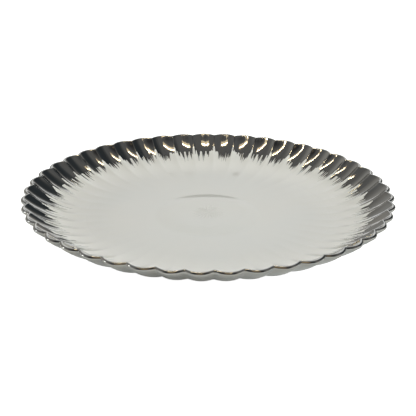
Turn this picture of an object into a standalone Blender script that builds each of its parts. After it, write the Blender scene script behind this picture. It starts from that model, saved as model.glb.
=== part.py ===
"""Fluted offering plate: a one-piece glazed ceramic plate and the metal lustre fired onto its rim.

Metres, +Z up. The origin is on the plate's axis, in the plane that the foot ring stands on.
A ridge between two flutes points along +Y, and the middle of a flute along -Y.
"""

from math import cos, pi, radians, sin, tan

import bmesh
import bpy

# Overall size
RIM_RADIUS = 0.180  # axis to the outermost point of a lobe
HEIGHT = 0.032  # foot ring's underside to the top of the lip

# Rim and wall
FLUTES = 45
SCALLOP_DEPTH = 0.0047  # how far a lobe stands out past the notch beside it
LIP_THICKNESS = 0.0040
WALL_THICKNESS = 0.0036
LIP_LEAN = radians(45)  # slope of the inside wall where it meets the lip
LIP_SWELL = 6  # power by which the wall thickens towards the lip
WALL_REACH = 0.076  # outermost point of the rim in to where the wall begins to rise

# Floor
FLOOR_THICKNESS = 0.0046
FLUTE_RUN_IN = 0.028  # how far the flutes run on over the floor
FLOOR_DISH = 0.0008  # how far the floor falls from its edge to the boss
FLOOR_RING = 0.052  # wall's foot in to the low boss in the middle
BOSS_HEIGHT = 0.0018
BOSS_SLOPE = 0.016  # width of the boss's sloping edge
BOSS_EASE = 1.15  # power by which that slope eases level towards the top

# Foot ring
FOOT_HEIGHT = 0.0032
FOOT_WIDTH = 0.0040  # width of the face it stands on
FOOT_TAPER = 0.0012  # how much wider each side is at the root
FOOT_INSET = 0.008  # edge of the floor in to the foot ring's outer root

# Lustre band
LUSTRE_AT_RIDGE = 0.013  # lip in to the band's edge, along a ridge
LUSTRE_STROKE = 0.012  # how much further in a brush stroke reaches, along a flute
LUSTRE_BELOW = 0.034  # lip in to the band's edge on the underside
LUSTRE_THICKNESS = 0.0004
LUSTRE_GAP = 0.0004  # clearance between the lustre and the ceramic under it

# Flute section
FLUTE_ARC = 0.67  # half angle of the arc that a flute's section follows, in radians
SHALLOW_SHARE = 0.06  # part of the scallop depth that fades evenly towards the centre
FLUTE_GROWTH = 3.5  # power by which the rest of it grows towards the rim
COLUMNS = 4  # mesh columns across one flute

# Worked out from the sizes above
LIP_RADIUS = LIP_THICKNESS / 2
LIP_CENTRE_R = RIM_RADIUS - SCALLOP_DEPTH - LIP_RADIUS
LIP_CENTRE_Z = HEIGHT - LIP_RADIUS
WALL_END_R = LIP_CENTRE_R - LIP_RADIUS * sin(LIP_LEAN)
WALL_END_Z = LIP_CENTRE_Z + LIP_RADIUS * cos(LIP_LEAN)
FLOOR_RADIUS = RIM_RADIUS - WALL_REACH
FLOOR_Z = FOOT_HEIGHT + FLOOR_THICKNESS
FLUTE_START = FLOOR_RADIUS - FLUTE_RUN_IN
BOSS_RADIUS = FLOOR_RADIUS - FLOOR_RING
BOSS_FOOT_Z = FLOOR_Z - FLOOR_DISH
WALL_RISE = WALL_END_Z - FLOOR_Z
WALL_RUN = WALL_END_R - FLOOR_RADIUS
WALL_POWER = tan(LIP_LEAN) * WALL_RUN / WALL_RISE
UNDER_BAND_R = WALL_END_R - LUSTRE_BELOW
INSET = LUSTRE_THICKNESS + LUSTRE_GAP


def flute_bow(column):
    """0 on a ridge and 1 along the middle of a flute."""
    across = 2 * (column % COLUMNS) / COLUMNS - 1
    return (cos(FLUTE_ARC * across) - cos(FLUTE_ARC)) / (1 - cos(FLUTE_ARC))


def flute_shift(r):
    """How far the middle of a flute lies out and down from the ridge line at radius r."""
    along = min(1.0, max(0.0, (r - FLUTE_START) / (WALL_END_R - FLUTE_START)))
    depth = SCALLOP_DEPTH * (SHALLOW_SHARE * along + (1 - SHALLOW_SHARE) * along**FLUTE_GROWTH)
    turn = pi / 2 * min(1.0, max(0.0, (r - FLOOR_RADIUS) / WALL_RUN))
    return depth * sin(turn), -depth * cos(turn)


def ridge_line(r):
    """Height and slope of the inside of the wall along a ridge."""
    up = max(0.0, (r - FLOOR_RADIUS) / WALL_RUN)
    slope = WALL_RISE * WALL_POWER / WALL_RUN * up ** (WALL_POWER - 1) if up else 0.0
    return FLOOR_Z + WALL_RISE * up**WALL_POWER, slope


def thickness(r):
    """The floor's at the wall's foot, the wall's from half way up, and the lip's at the top."""
    up = min(1.0, max(0.0, (r - FLOOR_RADIUS) / WALL_RUN))
    wall = FLOOR_THICKNESS + (WALL_THICKNESS - FLOOR_THICKNESS) * min(1.0, 2 * up)
    return wall + (LIP_THICKNESS - wall) * up**LIP_SWELL


def inside(r, bow, depth=0.0):
    """A point of the inside face, or one that lies depth under it."""
    z, slope = ridge_line(r)
    length = (1 + slope * slope) ** 0.5
    out, down = flute_shift(r)
    return r + depth * slope / length + out * bow, z - depth / length + down * bow


def outside(r, bow, depth=0.0):
    """A point of the outer face, opposite the inside face at radius r."""
    return inside(r, bow, thickness(r) - depth)


def lip(turn, bow, depth=0.0):
    """A point of the rounded lip, turn being the angle above straight out."""
    out, down = flute_shift(WALL_END_R)
    reach = LIP_RADIUS - depth
    return LIP_CENTRE_R + reach * cos(turn) + out * bow, LIP_CENTRE_Z + reach * sin(turn) + down * bow


def band_edge(bow):
    """Radius where the lustre ends inside the plate: one brush stroke down each flute."""
    return WALL_END_R - LUSTRE_AT_RIDGE - LUSTRE_STROKE * bow


def rim_rings(depth, edge_gap=0.0):
    """Sections from the lustre's inside edge, over the lip, to its edge on the underside."""

    def up_the_wall(bow, share):
        start = band_edge(bow)
        return start + (WALL_END_R - start) * share - edge_gap * (share == 0)

    def down_the_wall(share):
        return WALL_END_R - LUSTRE_BELOW * share - edge_gap * (share == 1)

    rings = [lambda bow, s=s: inside(up_the_wall(bow, s), bow, depth) for s in (0, 1 / 3, 2 / 3, 1)]
    half_turns = [pi / 2 + LIP_LEAN - pi * step / 4 for step in (1, 2, 3)]
    rings += [lambda bow, t=t: lip(t, bow, depth) for t in half_turns]
    rings += [lambda bow, s=s: outside(down_the_wall(s), bow, depth) for s in (0, 0.25, 0.5, 0.75, 1)]
    return rings


def add_ring(bm, section, per_flute):
    """One closed ring of vertices, per_flute of them on each flute, starting on the ridge at +Y."""
    ring = []
    for column in range(FLUTES * per_flute):
        r, z = section(flute_bow(column * COLUMNS // per_flute))
        angle = pi / 2 + 2 * pi * column / (FLUTES * per_flute)
        ring.append(bm.verts.new((r * cos(angle), r * sin(angle), z)))
    return ring


def join_rings(bm, first, second):
    """Faces between two rings. One ring may have a whole number of times the other's vertices."""
    coarse, fine = sorted((first, second), key=len)
    ratio = len(fine) // len(coarse)
    for i, corner in enumerate(coarse):
        stretch = [fine[(i * ratio + k) % len(fine)] for k in range(ratio + 1)]
        bm.faces.new([corner] + stretch + [coarse[(i + 1) % len(coarse)]])


def close_centre(bm, ring, z):
    """A fan of faces from a ring to a vertex on the axis."""
    centre = bm.verts.new((0, 0, z))
    for i, vertex in enumerate(ring):
        bm.faces.new((centre, vertex, ring[(i + 1) % len(ring)]))


def flat(r, z):
    """A plain circular section."""
    return lambda bow: (r, z)


def boss_rings():
    """The sloping edge of the boss in the middle of the floor, from its top out."""
    top_r = BOSS_RADIUS - BOSS_SLOPE
    shares = (0, 0.25, 0.6, 1)
    return [flat(top_r + BOSS_SLOPE * s, BOSS_FOOT_Z + BOSS_HEIGHT * (1 - s**BOSS_EASE)) for s in shares]


def dished(r, bow):
    """A point of the inside face, let down by the floor's dish."""
    out, z = inside(r, bow)
    fall = max(0.0, (FLOOR_RADIUS - r) / FLOOR_RING)
    return out, z - FLOOR_DISH * fall


def fluted_rings():
    """The inside face from the first of the flutes to the edge of the lustre."""
    radii = [FLUTE_START, (FLUTE_START + FLOOR_RADIUS) / 2, FLOOR_RADIUS]
    radii += [FLOOR_RADIUS + (band_edge(1) - FLOOR_RADIUS) * s for s in (1 / 3, 2 / 3)]
    rings = [lambda bow, r=r: dished(r, bow) for r in radii]
    return rings + [lambda bow: inside(band_edge(bow) - LUSTRE_GAP, bow)]


def foot_radii():
    """Outer root, outer edge, inner edge and inner root of the foot ring."""
    root = FLOOR_RADIUS - FOOT_INSET
    edge = root - FOOT_TAPER
    return root, edge, edge - FOOT_WIDTH, edge - FOOT_WIDTH - FOOT_TAPER


def underside_with_foot():
    """The outer face from the lustre's edge to the foot ring, then the ring itself."""
    root, edge, inner_edge, inner_root = foot_radii()
    return [
        lambda bow: outside(UNDER_BAND_R - LUSTRE_GAP, bow),
        lambda bow: outside((UNDER_BAND_R + FLOOR_RADIUS) / 2, bow),
        lambda bow: outside(FLOOR_RADIUS, bow),
        lambda bow: outside(root, bow),
        flat(edge, 0.0),
        flat(inner_edge, 0.0),
        lambda bow: outside(inner_root, bow),
        flat(FLUTE_START, FOOT_HEIGHT),
    ]


def add_object(name, bm, colour, roughness, metallic):
    """Turns the finished bmesh into an object with its own material."""
    bmesh.ops.recalc_face_normals(bm, faces=bm.faces)
    mesh = bpy.data.meshes.new(name)
    bm.to_mesh(mesh)
    bm.free()
    mesh.shade_smooth()
    mesh.set_sharp_from_angle(angle=radians(40))
    material = bpy.data.materials.new(name)
    material.use_nodes = True
    shader = material.node_tree.nodes["Principled BSDF"]
    shader.inputs["Base Color"].default_value = (*colour, 1)
    shader.inputs["Roughness"].default_value = roughness
    shader.inputs["Metallic"].default_value = metallic
    mesh.materials.append(material)
    bpy.context.collection.objects.link(bpy.data.objects.new(name, mesh))


def make_plate():
    """The ceramic: floor, fluted wall, lip, underside and foot ring in one body."""
    bm = bmesh.new()
    plain = [add_ring(bm, section, 1) for section in boss_rings()]
    under_the_lustre = rim_rings(INSET, LUSTRE_GAP)
    sections = fluted_rings() + under_the_lustre + underside_with_foot()
    fluted = [add_ring(bm, section, COLUMNS) for section in sections]
    rings = plain + fluted
    for first, second in zip(rings, rings[1:]):
        join_rings(bm, first, second)
    close_centre(bm, rings[0], BOSS_FOOT_Z + BOSS_HEIGHT)
    close_centre(bm, rings[-1], FOOT_HEIGHT)
    add_object("plate_body", bm, (0.83, 0.81, 0.76), 0.08, 0.0)


def make_lustre():
    """The lustre: a thin closed band wrapped over the lip from inside to underside."""
    bm = bmesh.new()
    face = [add_ring(bm, section, COLUMNS) for section in rim_rings(0.0)]
    back = [add_ring(bm, section, COLUMNS) for section in rim_rings(LUSTRE_THICKNESS)]
    for rings in (face, back):
        for first, second in zip(rings, rings[1:]):
            join_rings(bm, first, second)
    join_rings(bm, face[0], back[0])
    join_rings(bm, face[-1], back[-1])
    add_object("rim_lustre", bm, (0.60, 0.58, 0.54), 0.10, 1.0)


for leftover in list(bpy.data.objects):
    bpy.data.objects.remove(leftover)
make_plate()
make_lustre()
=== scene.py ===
from math import atan, cos, pi, radians, sin, tan

import bpy
import numpy as np
from mathutils import Matrix, Vector


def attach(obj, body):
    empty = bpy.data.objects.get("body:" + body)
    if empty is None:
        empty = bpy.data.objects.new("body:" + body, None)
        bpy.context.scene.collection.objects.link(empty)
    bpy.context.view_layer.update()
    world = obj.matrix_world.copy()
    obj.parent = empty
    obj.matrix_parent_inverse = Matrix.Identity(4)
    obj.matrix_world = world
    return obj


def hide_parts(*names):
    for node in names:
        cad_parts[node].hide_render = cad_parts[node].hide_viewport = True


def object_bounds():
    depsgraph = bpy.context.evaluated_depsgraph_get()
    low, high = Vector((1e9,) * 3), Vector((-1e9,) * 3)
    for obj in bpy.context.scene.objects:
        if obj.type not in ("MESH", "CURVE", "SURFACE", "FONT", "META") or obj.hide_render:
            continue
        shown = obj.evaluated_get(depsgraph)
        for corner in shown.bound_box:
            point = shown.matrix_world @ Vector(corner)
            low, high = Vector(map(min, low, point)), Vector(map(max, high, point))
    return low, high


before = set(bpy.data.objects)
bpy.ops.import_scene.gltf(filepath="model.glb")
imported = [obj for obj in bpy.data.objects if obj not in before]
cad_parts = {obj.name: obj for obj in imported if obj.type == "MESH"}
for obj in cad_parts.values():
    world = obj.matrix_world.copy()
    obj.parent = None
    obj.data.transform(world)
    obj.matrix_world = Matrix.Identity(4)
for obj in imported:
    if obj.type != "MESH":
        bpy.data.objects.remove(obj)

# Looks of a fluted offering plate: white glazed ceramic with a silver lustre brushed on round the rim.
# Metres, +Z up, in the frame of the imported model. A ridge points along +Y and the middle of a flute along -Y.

cad_low, cad_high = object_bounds()

# Sizes of the ware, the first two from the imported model
RIM_RADIUS = -cad_low.y  # the middle of a lobe lies on -Y
HEIGHT = cad_high.z
FLUTES = 45
SCALLOP_DEPTH = 0.0047
LIP_THICKNESS = 0.0040
WALL_THICKNESS = 0.0036
LIP_LEAN = radians(45)
LIP_SWELL = 6
WALL_REACH = 0.076
FLOOR_THICKNESS = 0.0046
FLUTE_RUN_IN = 0.028
FLOOR_DISH = 0.0008
FLOOR_RING = 0.052
BOSS_HEIGHT = 0.0018
BOSS_SLOPE = 0.016
BOSS_EASE = 1.15
FOOT_HEIGHT = 0.0032
FOOT_WIDTH = 0.0040
FOOT_TAPER = 0.0012
FOOT_INSET = 0.008
FOOT_EDGE = 0.0005  # rounding of the foot ring's two edges
FLUTE_ARC = 0.67  # half angle of the arc that a flute's section follows, in radians
SHALLOW_SHARE = 0.06
FLUTE_GROWTH = 3.5

# Sizes of the lustre
LUSTRE_BELOW = 0.034
FILM_PROUD = 0.00008  # glaze surface to lustre surface
FILM_BACK = 0.00030  # lustre surface to the hidden back of the film

# Mesh columns across one flute, and how far the plate's crowd towards the ridges
PLATE_COLUMNS = 20
RIDGE_CROWDING = 0.6
LUSTRE_COLUMNS = 48

# Worked out from the sizes above
LIP_RADIUS = LIP_THICKNESS / 2
LIP_CENTRE_R = RIM_RADIUS - SCALLOP_DEPTH - LIP_RADIUS
LIP_CENTRE_Z = HEIGHT - LIP_RADIUS
WALL_END_R = LIP_CENTRE_R - LIP_RADIUS * sin(LIP_LEAN)
WALL_END_Z = LIP_CENTRE_Z + LIP_RADIUS * cos(LIP_LEAN)
FLOOR_RADIUS = RIM_RADIUS - WALL_REACH
FLOOR_Z = FOOT_HEIGHT + FLOOR_THICKNESS
FLUTE_START = FLOOR_RADIUS - FLUTE_RUN_IN
WALL_RISE = WALL_END_Z - FLOOR_Z
WALL_RUN = WALL_END_R - FLOOR_RADIUS
WALL_POWER = tan(LIP_LEAN) * WALL_RUN / WALL_RISE
BOSS_RADIUS = FLOOR_RADIUS - FLOOR_RING
BOSS_TOP_RADIUS = BOSS_RADIUS - BOSS_SLOPE
FLUTE_PITCH = 2 * pi / FLUTES

# What the hand leaves: no two flutes or brush strokes are quite alike
hand = np.random.default_rng(45)
flute_depths = 1 - 0.05 * hand.random(FLUTES)
ridge_turns = radians(0.14) * hand.uniform(-1, 1, FLUTES)


# ---------------------------------------------------------------- the turned and fluted form


class Columns:
    """The upright sections of a mesh round the plate: each has an angle and a place across its flute."""

    def __init__(self, per_flute, crowding):
        even = np.linspace(-1, 1, per_flute, endpoint=False)
        across = (1 - crowding) * even + crowding * np.sin(pi / 2 * even)
        flute = np.repeat(np.arange(FLUTES), per_flute)
        self.across = np.tile(across, FLUTES)
        share = (self.across + 1) / 2
        turn = ridge_turns[flute] * (1 - share) + ridge_turns[(flute + 1) % FLUTES] * share
        self.angle = pi / 2 + (flute + share) * FLUTE_PITCH + turn
        self.flute = flute
        self.depth = flute_depths[flute]
        self.count = len(self.angle)

    def bow(self, softness):
        """0 on a ridge and the flute's depth along its middle; softness rounds the ridge."""
        from_ridge = 1 - np.abs(self.across)
        rounded = (np.hypot(from_ridge, softness) - softness) / (np.hypot(1, softness) - softness)
        arc = np.cos(FLUTE_ARC * (1 - rounded)) - cos(FLUTE_ARC)
        return self.depth * arc / (1 - cos(FLUTE_ARC))


def up_share(r):
    """0 where the floor begins to rise and 1 at the lip."""
    return np.clip((r - FLOOR_RADIUS) / WALL_RUN, 0, 1)


def thickness(r):
    """The floor's under the flat floor, the wall's from half way up, and the lip's at the top."""
    up = up_share(r)
    wall = FLOOR_THICKNESS + (WALL_THICKNESS - FLOOR_THICKNESS) * np.minimum(1, 2 * up)
    return wall + (LIP_THICKNESS - wall) * up**LIP_SWELL


def flute_shift(r):
    """How far the middle of a flute lies out and down from the ridge line at radius r."""
    along = np.clip((r - FLUTE_START) / (WALL_END_R - FLUTE_START), 0, 1)
    depth = SCALLOP_DEPTH * (SHALLOW_SHARE * along + (1 - SHALLOW_SHARE) * along**FLUTE_GROWTH)
    turn = pi / 2 * up_share(r)
    return depth * np.sin(turn), -depth * np.cos(turn)


def ridge_softness(r):
    """Ridges are crisp at the lip and melt into the floor."""
    along = np.clip((r - FLUTE_START) / (WALL_END_R - FLUTE_START), 0, 1)
    return 0.05 + 0.35 * (1 - along) ** 2


def inside(columns, r, depth=0.0):
    """The inside face at radius r, or the layer that lies depth under it, as radii and heights."""
    up = up_share(r)
    slope = WALL_RISE * WALL_POWER / WALL_RUN * up ** (WALL_POWER - 1)
    length = np.hypot(1, slope)
    out, down = flute_shift(r)
    bow = columns.bow(ridge_softness(r))
    height = FLOOR_Z + WALL_RISE * up**WALL_POWER
    return r + depth * slope / length + out * bow, height - depth / length + down * bow


def outside(columns, r, depth=0.0):
    """The outer face, opposite the inside face at radius r."""
    return inside(columns, r, thickness(r) - depth)


def lip(columns, turn, depth=0.0):
    """The rounded lip, turn being the angle above straight out."""
    out, down = flute_shift(WALL_END_R)
    bow = columns.bow(ridge_softness(WALL_END_R))
    reach = LIP_RADIUS - depth
    return LIP_CENTRE_R + reach * cos(turn) + out * bow, LIP_CENTRE_Z + reach * sin(turn) + down * bow


def lip_turns(steps):
    """Angles over the lip from the inside wall to the outer one, without the two ends."""
    return [pi / 2 + LIP_LEAN - pi * step / steps for step in range(1, steps)]


def plain(columns, r, z):
    """A round section, the same in every column."""
    return np.full(columns.count, r), np.full(columns.count, z)


def rings_mesh(name, columns, sections, closed, tops=()):
    """Joins rings of points into a mesh. closed joins the last ring to the first; tops closes its ends."""
    rings = [np.stack([r * np.cos(columns.angle), r * np.sin(columns.angle), z], 1) for r, z in sections]
    points = np.concatenate(rings + [np.array([[0, 0, z]]) for z in tops])
    count = columns.count
    around = np.arange(count)
    after = (around + 1) % count
    starts = np.arange(len(rings) if closed else len(rings) - 1) * count
    nexts = (starts + count) % (count * len(rings))
    low, high = starts[:, None], nexts[:, None]
    quads = np.stack([low + around, high + around, high + after, low + after], 2).reshape(-1, 4)
    faces = quads.tolist()
    if tops:
        first, last = count * len(rings), count * len(rings) + 1
        end = count * (len(rings) - 1)
        faces += [(first, a, b) for a, b in zip(around.tolist(), after.tolist())]
        faces += [(last, end + b, end + a) for a, b in zip(around.tolist(), after.tolist())]
    mesh = bpy.data.meshes.new(name)
    mesh.from_pydata(points.tolist(), [], faces)
    mesh.validate()
    mesh.shade_smooth()
    mesh.set_sharp_from_angle(angle=radians(40))
    piece = bpy.data.objects.new(name, mesh)
    bpy.context.collection.objects.link(piece)
    return piece


# ---------------------------------------------------------------- the ceramic plate

ROSETTE_RADIUS = 0.0165
ROSETTE_RAYS = 24
ROSETTE_DEPTH = 0.00022
FLOOR_CREASE_R = 0.1195  # the fine groove where the tool left the floor
FLOOR_CREASE_DEPTH = 0.00003
FLOOR_CREASE_WIDTH = 0.0010


def smooth_step(share):
    share = np.clip(share, 0, 1)
    return share * share * (3 - 2 * share)


def boss(r):
    """Height of the low boss in the middle, over the floor that falls gently towards it."""
    fall = np.clip((FLOOR_RADIUS - r) / FLOOR_RING, 0, 1)
    down = np.clip((r - BOSS_TOP_RADIUS) / (BOSS_RADIUS - BOSS_TOP_RADIUS), 0, 1)
    return BOSS_HEIGHT * (1 - down**BOSS_EASE) - FLOOR_DISH * fall


def floor_relief(columns, r):
    """Height of the boss, less the rayed rosette on it and the floor's fine crease."""
    out = r / ROSETTE_RADIUS
    rays = ROSETTE_DEPTH * out * smooth_step((1 - out) / 0.25) * np.cos(ROSETTE_RAYS * columns.angle)
    crease = FLOOR_CREASE_DEPTH * np.exp(-(((r - FLOOR_CREASE_R) / FLOOR_CREASE_WIDTH) ** 2))
    return boss(r) - rays - crease


def glazed_inside(columns, r):
    """The glaze surface inside the plate, just under where the lustre lies."""
    out, height = inside(columns, r, FILM_PROUD)
    return out, height + floor_relief(columns, r)


def foot_sections(columns):
    """The foot ring from its outer root round its two soft edges to its inner root."""
    root = FLOOR_RADIUS - FOOT_INSET
    edge = root - FOOT_TAPER
    inner_edge = edge - FOOT_WIDTH
    inner_root = inner_edge - FOOT_TAPER
    return [
        outside(columns, np.full(columns.count, root + 0.0010), FILM_PROUD),
        plain(columns, root, FOOT_HEIGHT - 0.0006),
        plain(columns, edge + 0.2 * FOOT_TAPER, FOOT_EDGE),
        plain(columns, edge, 0.3 * FOOT_EDGE),
        plain(columns, edge - FOOT_EDGE, 0.0),
        plain(columns, inner_edge + FOOT_EDGE, 0.0),
        plain(columns, inner_edge, 0.3 * FOOT_EDGE),
        plain(columns, inner_edge - 0.2 * FOOT_TAPER, FOOT_EDGE),
        plain(columns, inner_root, FOOT_HEIGHT - 0.0006),
        plain(columns, inner_root - 0.0010, FOOT_HEIGHT),
    ]


def make_plate():
    """Floor, fluted wall, lip, underside and foot ring of the ceramic, as one closed surface."""
    columns = Columns(PLATE_COLUMNS, RIDGE_CROWDING)
    floor = np.concatenate([np.linspace(0.0012, 0.018, 11), np.linspace(0.022, 0.034, 3)])
    floor = np.concatenate([floor, np.linspace(BOSS_TOP_RADIUS, BOSS_RADIUS, 8), [0.0525, 0.054, 0.060, 0.068]])
    flutes = np.concatenate([np.linspace(0.076, 0.114, 9), np.linspace(0.1165, 0.1225, 9)])
    flutes = np.concatenate([flutes, np.linspace(0.125, WALL_END_R, 20)])
    under = np.linspace(WALL_END_R, FLOOR_RADIUS, 13)
    sections = [glazed_inside(columns, np.full(columns.count, r)) for r in (*floor, *flutes)]
    sections += [lip(columns, turn, FILM_PROUD) for turn in lip_turns(8)]
    sections += [outside(columns, np.full(columns.count, r), FILM_PROUD) for r in under]
    sections += foot_sections(columns)
    sections += [plain(columns, 0.02, FOOT_HEIGHT)]
    middle = FLOOR_Z - FLOOR_DISH + BOSS_HEIGHT - FILM_PROUD
    return rings_mesh("glazed_plate", columns, sections, False, (middle, FOOT_HEIGHT))


# ---------------------------------------------------------------- the brushed lustre

BAND_AT_RIDGE = 0.0105  # lip in to where the lustre ends on a ridge
BAND_IN_FLUTE = 0.0165  # lip in to the solid lustre's end along a flute
STROKE_LENGTH = (0.006, 0.0260)  # shortest and longest that a bristle mark runs past it
STROKE_WIDTH = (0.0008, 0.0024)
STROKES_PER_FLUTE = 15
FULLER_SIDE = radians(215)  # where the brush was pressed hardest
FULLER_SHARE = 0.45


def brushed_edge(columns, solid_r, lengths, seed):
    """Radius of the lustre's edge in each column: a solid band with tapered bristle marks running off it."""
    brush = np.random.default_rng(seed)
    edge = solid_r.copy()
    for flute in range(FLUTES):
        load = brush.uniform(0.6, 1.0)
        lean = brush.uniform(-0.4, 0.4)
        for place in brush.uniform(-0.9, 0.9, STROKES_PER_FLUTE):
            angle = pi / 2 + (flute + (place + 1) / 2) * FLUTE_PITCH
            pressed = 1 + FULLER_SHARE * max(0, cos(angle - FULLER_SIDE)) ** 2
            favour = 1 - 0.6 * abs(place - lean)
            length = load * pressed * favour * brush.uniform(*lengths)
            width = brush.uniform(*STROKE_WIDTH)
            gap = np.abs((columns.angle - angle + pi) % (2 * pi) - pi) * solid_r
            taper = np.clip(1 - 2 * gap / width, 0, 1)
            edge = np.minimum(edge, solid_r - length * taper**0.75)
    return edge


def inner_edge(columns):
    """Edge of the lustre inside the plate."""
    middle = 1 - np.abs(columns.across)
    solid = WALL_END_R - BAND_AT_RIDGE - (BAND_IN_FLUTE - BAND_AT_RIDGE) * smooth_step(3.0 * middle)
    return brushed_edge(columns, solid, STROKE_LENGTH, 7)


def outer_edge(columns):
    """Edge of the lustre on the underside."""
    solid = np.full(columns.count, WALL_END_R - LUSTRE_BELOW + 0.004)
    return brushed_edge(columns, solid, (0.002, 0.006), 8)


def film_sections(columns, depth, steps_in, steps_lip, steps_out):
    """The film's face, or its hidden back, from the inside edge over the lip to the edge underneath."""
    start, end = inner_edge(columns), outer_edge(columns)
    sections = []
    for share in np.linspace(0, 1, steps_in):
        sections.append(inside(columns, start + (WALL_END_R - start) * share, depth))
    sections += [lip(columns, turn, depth) for turn in lip_turns(steps_lip)]
    for share in np.linspace(0, 1, steps_out):
        sections.append(outside(columns, WALL_END_R + (end - WALL_END_R) * share, depth))
    return sections


def make_lustre():
    """The lustre: a closed film wrapped over the rim, with a bristle-marked edge inside and underneath."""
    columns = Columns(LUSTRE_COLUMNS, 0.0)
    face = film_sections(columns, 0.0, 9, 9, 7)
    back = film_sections(columns, FILM_BACK, 5, 4, 5)
    return rings_mesh("brushed_lustre", columns, face + back[::-1], True)


# ---------------------------------------------------------------- nodes


class Wire:
    """A node's output. Arithmetic on wires adds Math nodes."""

    def __init__(self, recipe, socket):
        self.recipe = recipe
        self.socket = socket

    def _math(self, operation, *values):
        return self.recipe.add("ShaderNodeMath", {"operation": operation}, dict(enumerate(values)))

    def __add__(self, other):
        return self._math("ADD", self, other)

    __radd__ = __add__

    def __sub__(self, other):
        return self._math("SUBTRACT", self, other)

    def __rsub__(self, other):
        return self._math("SUBTRACT", other, self)

    def __mul__(self, other):
        return self._math("MULTIPLY", self, other)

    __rmul__ = __mul__

    def __pow__(self, other):
        return self._math("POWER", self, other)


class Recipe:
    """Builds the node tree of a material or of the surroundings."""

    def __init__(self, owner):
        owner.use_nodes = True
        self.tree = owner.node_tree
        self.tree.nodes.clear()

    def add(self, kind, settings=None, sockets=None, output=0):
        """Adds a node, sets it up, fills or links its sockets, and gives the output asked for."""
        node = self.tree.nodes.new(kind)
        for name, value in (settings or {}).items():
            setattr(node, name, value)
        for key, value in (sockets or {}).items():
            if isinstance(value, Wire):
                self.tree.links.new(value.socket, node.inputs[key])
            else:
                node.inputs[key].default_value = value
        return Wire(self, node.outputs[output]) if len(node.outputs) else None

    def mix(self, factor, first, second):
        """A colour between two colours."""
        sockets = {0: factor, 6: first, 7: second}
        return self.add("ShaderNodeMix", {"data_type": "RGBA"}, sockets, 2)

    def step(self, value, low, high):
        """A smooth step from 0 at low to 1 at high."""
        sockets = {"Value": value, "From Min": low, "From Max": high}
        return self.add("ShaderNodeMapRange", {"interpolation_type": "SMOOTHSTEP"}, sockets)

    def vector(self, operation, first, second=None):
        """Vector arithmetic."""
        sockets = {0: first} if second is None else {0: first, 1: second}
        return self.add("ShaderNodeVectorMath", {"operation": operation}, sockets)

    def parts(self, vector):
        """The three parts of a vector as numbers."""
        split = self.add("ShaderNodeSeparateXYZ", None, {0: vector}).socket.node
        return [Wire(self, socket) for socket in split.outputs]

    def noise(self, vector, scale, detail=2.0, roughness=0.5):
        """Cloudy noise from 0 to 1."""
        sockets = {"Vector": vector, "Scale": scale, "Detail": detail, "Roughness": roughness}
        return self.add("ShaderNodeTexNoise", None, sockets)

    def place(self):
        """Where a point is on the plate."""
        return self.add("ShaderNodeTexCoord", None, None, "Object")

    def from_axis(self, place):
        """A place's distance from the plate's axis."""
        x, y, z = self.parts(place)
        return (x * x + y * y) ** 0.5

    def swept(self, place, marks_round, marks_along):
        """Coordinates in which noise comes out as streaks that run straight in from the rim."""
        level = self.vector("NORMALIZE", self.vector("MULTIPLY", place, (1, 1, 0)))
        along = (self.from_axis(place) + self.parts(place)[2]) * marks_along
        lift = self.add("ShaderNodeCombineXYZ", None, {2: along})
        round_about = self.vector("MULTIPLY", level, (marks_round, marks_round, 0))
        return self.vector("ADD", round_about, lift)

    def spot(self, direction, centre, outer, inner):
        """A soft round spot on the surroundings: 1 within inner degrees of its centre, 0 beyond outer."""
        nearness = self.add("ShaderNodeVectorMath", {"operation": "DOT_PRODUCT"}, {0: direction, 1: centre}, 1)
        return self.step(nearness, cos(radians(outer)), cos(radians(inner)))

    def finish(self, **sockets):
        """The Principled shader, on the material's output."""
        named = {name.replace("_", " "): value for name, value in sockets.items()}
        shader = self.add("ShaderNodeBsdfPrincipled", None, named)
        self.add("ShaderNodeOutputMaterial", None, {"Surface": shader})


def glaze():
    """Warm white glaze over a pale body, pooled in the flutes, with painted light that makes the wall lighter
    towards the lip, and bare clay where the foot stands.
    """
    material = bpy.data.materials.new("white_glaze")
    recipe = Recipe(material)
    place = recipe.place()
    height = recipe.parts(place)[2]
    pooled = recipe.noise(place, 26.0, 3.0)
    cloud = recipe.noise(place, 9.0, 2.0)
    white = recipe.mix(recipe.step(cloud, 0.3, 0.7), GLAZE_WARM, GLAZE_COOL)
    white = recipe.mix(recipe.step(pooled, 0.45, 0.75) * 0.35, white, GLAZE_THIN)
    # painted light: the wall is mixed towards a lighter glaze colour, standing in for the light the walls catch
    wall_painted_light = recipe.step(recipe.from_axis(place), *WALL_PAINTED_LIGHT_RADII)
    white = recipe.mix(wall_painted_light * 0.7, white, GLAZE_PAINTED_LIGHT)
    speck = recipe.step(recipe.noise(place, 620.0, 1.0), 0.78, 0.84)
    white = recipe.mix(speck * 0.25, white, SPECK)
    bare = 1 - recipe.step(height, *BARE_HEIGHTS)
    grain = recipe.noise(place, 1400.0, 4.0, 0.7)
    clay = recipe.mix(grain, CLAY_DARK, CLAY_PALE)
    colour = recipe.mix(bare, white, clay)
    rough = 0.05 + 0.03 * recipe.noise(place, 60.0, 3.0) + bare * 0.7
    peel = recipe.noise(place, 190.0, 2.0) * 0.6 + recipe.noise(place, 45.0, 2.0)
    relief = peel * (1 - bare) + grain * bare * 6.0
    normal = recipe.add("ShaderNodeBump", None, {"Strength": 0.25, "Distance": GLAZE_RELIEF, "Height": relief})
    recipe.finish(Base_Color=colour, Roughness=rough, Normal=normal, IOR=1.52, Coat_Roughness=0.03)
    return material


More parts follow.
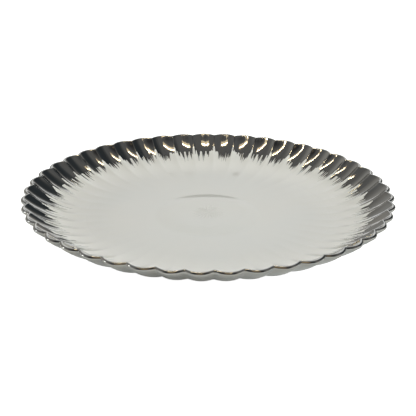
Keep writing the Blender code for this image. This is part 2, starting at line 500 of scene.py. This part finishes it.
def lustre():
    """Fired silver lustre: bright metal, streaked along the brush, browner and duller where it thins."""
    material = bpy.data.materials.new("silver_lustre")
    recipe = Recipe(material)
    place = recipe.place()
    streaks = recipe.noise(recipe.swept(place, 150.0, 60.0), 1.0, 3.0, 0.6)
    broad = recipe.noise(recipe.swept(place, 30.0, 25.0), 1.0, 2.0)
    cloud = recipe.noise(place, 35.0, 3.0)
    silver = recipe.mix(recipe.step(broad, 0.3, 0.7), SILVER_WARM, SILVER_COOL)
    silver = recipe.mix(recipe.step(streaks, 0.52, 0.8) * 0.3, silver, SILVER_THIN)
    towards_edge = recipe.step(recipe.from_axis(place), *THINNING_RADII)
    bristles = recipe.noise(recipe.swept(place, 330.0, 30.0), 1.0, 2.0, 0.6)
    bare = recipe.step(bristles + 0.42 * towards_edge, 0.80, 0.88)
    colour = recipe.mix(bare, silver, GLAZE_COOL)
    metal = 1 - 0.95 * bare
    rough = 0.035 + 0.05 * recipe.step(streaks, 0.4, 0.8) + 0.03 * cloud
    relief = streaks * 0.7 + recipe.noise(place, 160.0, 2.0) * 0.5
    normal = recipe.add("ShaderNodeBump", None, {"Strength": 0.3, "Distance": LUSTRE_RELIEF, "Height": relief})
    recipe.finish(Base_Color=colour, Metallic=metal, Roughness=rough, Normal=normal)
    return material


WALL_PAINTED_LIGHT_RADII = (0.095, 0.145)  # painted light: the glaze colour is made lighter up the wall between these radii
THINNING_RADII = (0.160, 0.144)  # the lustre lets the glaze through more and more between these
BARE_HEIGHTS = (0.00035, 0.0006)  # the foot is unglazed below the first
GLAZE_RELIEF = 0.00006
LUSTRE_RELIEF = 0.00002
GLAZE_WARM = (0.81, 0.80, 0.755, 1)
GLAZE_COOL = (0.795, 0.795, 0.76, 1)
# painted light: the lighter colour painted up the wall
GLAZE_PAINTED_LIGHT = (0.96, 0.945, 0.89, 1)
GLAZE_THIN = (0.82, 0.805, 0.76, 1)
SPECK = (0.45, 0.36, 0.26, 1)
CLAY_DARK = (0.52, 0.43, 0.33, 1)
CLAY_PALE = (0.72, 0.65, 0.55, 1)
SILVER_WARM = (0.62, 0.605, 0.565, 1)
SILVER_COOL = (0.57, 0.575, 0.56, 1)
SILVER_THIN = (0.47, 0.44, 0.395, 1)

plate = make_plate()
plate.data.materials.append(glaze())
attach(plate, "root")
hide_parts("plate_body")

band = make_lustre()
band.data.materials.append(lustre())
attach(band, "root")
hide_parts("rim_lustre")


# ---------------------------------------------------------------- studio


FLOOR_HALF = 20.0
FLOOR_GLOW = 0.03
FLOOR_GLOW_SEEN = 0.88  # added to the glow where the camera sees the floor itself


def make_floor():
    """A wide pale floor, bright to the eye and softly lit where it shows in the metal."""
    mesh = bpy.data.meshes.new("floor")
    far = FLOOR_HALF
    corners = [(-far, -far, 0), (far, -far, 0), (far, far, 0), (-far, far, 0)]
    mesh.from_pydata(corners, [], [(0, 1, 2, 3)])
    floor = bpy.data.objects.new("floor", mesh)
    bpy.context.collection.objects.link(floor)
    material = bpy.data.materials.new("pale_floor")
    recipe = Recipe(material)
    seen = recipe.add("ShaderNodeLightPath", None, None, "Is Camera Ray")
    sockets = {"Base Color": (0.80, 0.80, 0.79, 1), "Roughness": 0.9, "Specular IOR Level": 0.0}
    sockets |= {"Emission Color": (1, 1, 1, 1), "Emission Strength": FLOOR_GLOW + seen * FLOOR_GLOW_SEEN}
    shader = recipe.add("ShaderNodeBsdfPrincipled", None, sockets)
    recipe.add("ShaderNodeOutputMaterial", None, {"Surface": shader})
    mesh.materials.append(material)


def toward(turn, rise):
    """A direction: turn degrees to the right of straight behind the plate, rise degrees up."""
    turn, rise = radians(turn), radians(rise)
    return (sin(turn) * cos(rise), cos(turn) * cos(rise), sin(rise))


def make_surroundings():
    """A grey room with a pale backdrop sheet behind, darker low on the right and black round the camera."""
    world = bpy.data.worlds.new("studio")
    bpy.context.scene.world = world
    recipe = Recipe(world)
    direction = recipe.add("ShaderNodeTexCoord", None, None, "Generated")
    x, y, z = recipe.parts(direction)
    room = recipe.mix(recipe.step(z, 0.35, 0.82), ROOM_LOW, ROOM_HIGH)
    room = recipe.mix(recipe.spot(direction, toward(46, 30), 36, 12), room, ROOM_RIGHT)
    across = (x * x) ** 0.5
    sheet = recipe.step(0.26 * y - across, -0.05, 0.05) * recipe.step(z, 0.93, 0.78)
    room = recipe.mix(sheet, room, ROOM_SHEET)
    room = recipe.mix(recipe.spot(direction, toward(180, 25), 62, 40), room, ROOM_FRONT)
    room = recipe.mix(recipe.spot(direction, toward(180, 44), 26, 14), room, ROOM_TAN)
    shader = recipe.add("ShaderNodeBackground", None, {"Color": room, "Strength": 1.0})
    recipe.add("ShaderNodeOutputWorld", None, {"Surface": shader})


def add_lamp(name, where, aim, size, power, colour, mirrored=True):
    """A rectangular soft light at a place, facing a point; mirrored says if it shows in the metal."""
    light = bpy.data.lights.new(name, "AREA")
    light.shape = "RECTANGLE"
    light.size, light.size_y = size
    light.energy = power
    light.color = colour
    lamp = bpy.data.objects.new(name, light)
    lamp.location = where
    lamp.visible_glossy = mirrored
    lamp.rotation_euler = (Vector(aim) - Vector(where)).to_track_quat("-Z", "Y").to_euler()
    bpy.context.collection.objects.link(lamp)


ROOM_HIGH = (0.125, 0.125, 0.125, 1)
ROOM_LOW = (0.29, 0.285, 0.275, 1)
ROOM_RIGHT = (0.032, 0.038, 0.043, 1)
ROOM_SHEET = (0.85, 0.86, 0.87, 1)
ROOM_FRONT = (0.02, 0.02, 0.022, 1)
ROOM_TAN = (0.40, 0.31, 0.20, 1)


def make_lights():
    """A narrow warm light over the far part with a halo, two soft ones at the sides, and a slim one at left."""
    add_lamp("strip", (-0.13, 0.18, 1.03), (-0.13, 0.18, 0), (0.56, 0.020), 0.72, (1.0, 0.84, 0.55))
    add_lamp("halo", (-0.12, 0.15, 1.05), (-0.12, 0.15, 0), (0.64, 0.14), 0.24, (1.0, 0.80, 0.50))
    add_lamp("soft_right", (1.12, -0.36, 0.45), (0, 0, 0), (0.70, 0.80), 15.0, (0.92, 0.98, 1.0), False)
    add_lamp("soft_left", (-1.20, 0.06, 0.36), (0, 0, 0), (0.34, 0.60), 10.8, (0.92, 0.98, 1.0), False)
    add_lamp("edge_left", (-1.20, 0.02, 0.36), (0, 0, 0), (0.10, 0.40), 0.7, (0.95, 0.98, 1.0))


CAMERA_DISTANCE = 0.8776  # to the middle of the rim
CAMERA_RISE = 0.3756  # radians above the horizon
CAMERA_TURN = radians(2.1)  # round from straight in front, to the right
CAMERA_TIP = 0.02  # radians that it looks below the middle of the rim
CAMERA_ROLL = 0.0062
SENSOR = 36.0
FOCAL = 900.0 / 416.0 * SENSOR


def make_camera():
    """The camera in front of the plate, a little above it."""
    data = bpy.data.cameras.new("camera")
    data.sensor_width = SENSOR
    data.lens = FOCAL
    data.clip_end = 100.0
    camera = bpy.data.objects.new("camera", data)
    turn = Matrix.Rotation(CAMERA_TURN, 4, "Z")
    up = Matrix.Rotation(pi / 2 - CAMERA_RISE, 4, "X")
    back = Matrix.Translation((0, 0, CAMERA_DISTANCE))
    tip = Matrix.Rotation(-CAMERA_TIP, 4, "X")
    roll = Matrix.Rotation(CAMERA_ROLL, 4, "Z")
    camera.matrix_world = Matrix.Translation((0, 0, HEIGHT)) @ turn @ up @ back @ tip @ roll
    bpy.context.collection.objects.link(camera)
    bpy.context.scene.camera = camera


make_floor()
make_surroundings()
make_lights()
make_camera()
bpy.context.scene.view_settings.view_transform = "Standard"
